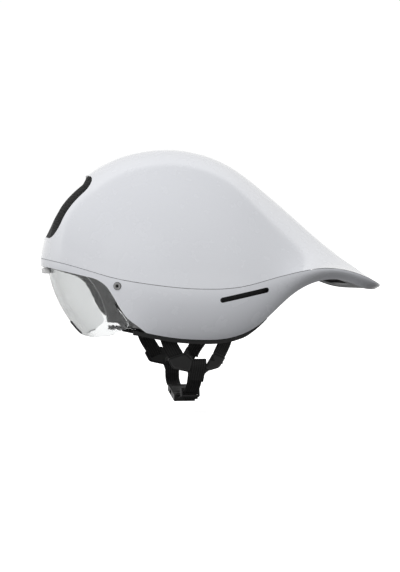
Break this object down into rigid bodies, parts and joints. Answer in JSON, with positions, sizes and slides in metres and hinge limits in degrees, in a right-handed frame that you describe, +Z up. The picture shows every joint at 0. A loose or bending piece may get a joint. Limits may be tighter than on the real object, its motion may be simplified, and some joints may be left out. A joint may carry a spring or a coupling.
{
  "type": "time trial cycling helmet",
  "caption": "Long-tailed aerodynamic cycling helmet with a clear wrap visor, forehead intake, size dial and a buckled chin strap",
  "frame": {"origin": "centre of the wearer's head at ear height, where the head mount is", "axes": "+X towards the tail of the helmet, +Y towards the wearer's right, +Z up through the crown; the visor faces -X"},
  "size_m": [0.3528, 0.2158, 0.259],
  "materials": {
    "shell_white": "moulded polycarbonate, high gloss white",
    "lens_clear": "clear polycarbonate lens, hard coated",
    "liner_foam": "expanded polystyrene bead foam, charcoal",
    "mesh_dark": "perforated dark plastic",
    "panel_grey": "satin grey moulded panel",
    "rubber_black": "soft black elastomer",
    "fit_plastic": "satin black nylon",
    "buckle_plastic": "fine-textured black acetal",
    "pad_fabric": "knitted wicking fabric over foam",
    "webbing_black": "woven polyester webbing",
    "screw_steel": "turned stainless steel"
  },
  "bodies": {
    "helmet": {"brow_clip": "shell_white", "brow_pad": "pad_fabric", "buckle_socket": "buckle_plastic", "chin_strap_left": "webbing_black", "chin_strap_right": "webbing_black", "crown_pad": "pad_fabric", "crown_pad_left": "pad_fabric", "crown_pad_right": "pad_fabric", "edge_trim_left": "rubber_black", "edge_trim_right": "rubber_black", "eps_liner": "liner_foam", "exhaust_mesh": "mesh_dark", "fit_arm_left": "fit_plastic", "fit_arm_right": "fit_plastic", "front_strap_left": "webbing_black", "front_strap_right": "webbing_black", "front_strap_rivets": "buckle_plastic", "intake_mesh": "mesh_dark", "intake_ring": "shell_white", "liner_side_left": "liner_foam", "liner_side_right": "liner_foam", "lower_shell": "shell_white", "pivot_bush_left": "fit_plastic", "pivot_bush_right": "fit_plastic", "pivot_nut_left": "fit_plastic", "pivot_nut_right": "fit_plastic", "pivot_screw_left": "screw_steel", "pivot_screw_right": "screw_steel", "rear_hanger": "fit_plastic", "rear_pad": "pad_fabric", "rear_strap_left": "webbing_black", "rear_strap_right": "webbing_black", "rear_strap_rivets": "buckle_plastic", "side_pad_left": "pad_fabric", "side_pad_right": "pad_fabric", "side_vent_tray_left": "mesh_dark", "side_vent_tray_right": "mesh_dark", "strap_divider_left": "buckle_plastic", "strap_divider_right": "buckle_plastic", "strap_keeper": "rubber_black", "strap_tail": "webbing_black", "tail_panel": "panel_grey", "top_vent_mesh": "mesh_dark", "upper_shell": "shell_white"},
    "visor": {"visor_lens": "lens_clear", "visor_thumb_pad": "rubber_black"},
    "fit_carriage": {"fit_carriage": "fit_plastic"},
    "fit_cradle": {"fit_cradle": "fit_plastic", "cradle_pad": "pad_fabric", "dial_housing": "fit_plastic", "fit_lace_left": "webbing_black", "fit_lace_right": "webbing_black"},
    "fit_dial": {"dial_knob": "rubber_black", "lace_spool": "fit_plastic"},
    "buckle_plug": {"buckle_plug": "buckle_plastic"}
  },
  "joints": [
    {"name": "visor_tilt", "type": "hinge", "parent": "helmet", "child": "visor", "pos_m": [-0.0624, 0, 0.0194], "axis": [0, 1, 0], "range_deg": [0, 7]},
    {"name": "cradle_height", "type": "slide", "parent": "helmet", "child": "fit_carriage", "axis": [0, 0, 1], "range_m": [-0.005, 0.005]},
    {"name": "cradle_fit", "type": "slide", "parent": "fit_carriage", "child": "fit_cradle", "axis": [-1, 0, 0], "range_m": [0, 0.01]},
    {"name": "dial_turn", "type": "hinge", "parent": "fit_cradle", "child": "fit_dial", "pos_m": [0.1, 0, 0.008], "axis": [1, 0, 0], "range_deg": [0, 240]},
    {"name": "buckle_release", "type": "slide", "parent": "helmet", "child": "buckle_plug", "axis": [0, -0.9781, -0.2079], "range_m": [0, 0.016], "deforming": ["chin_strap_left"]}
  ],
  "couplings": [
    {"joint": "dial_turn", "follows": "cradle_fit", "rad_per_m": 400}
  ]
}
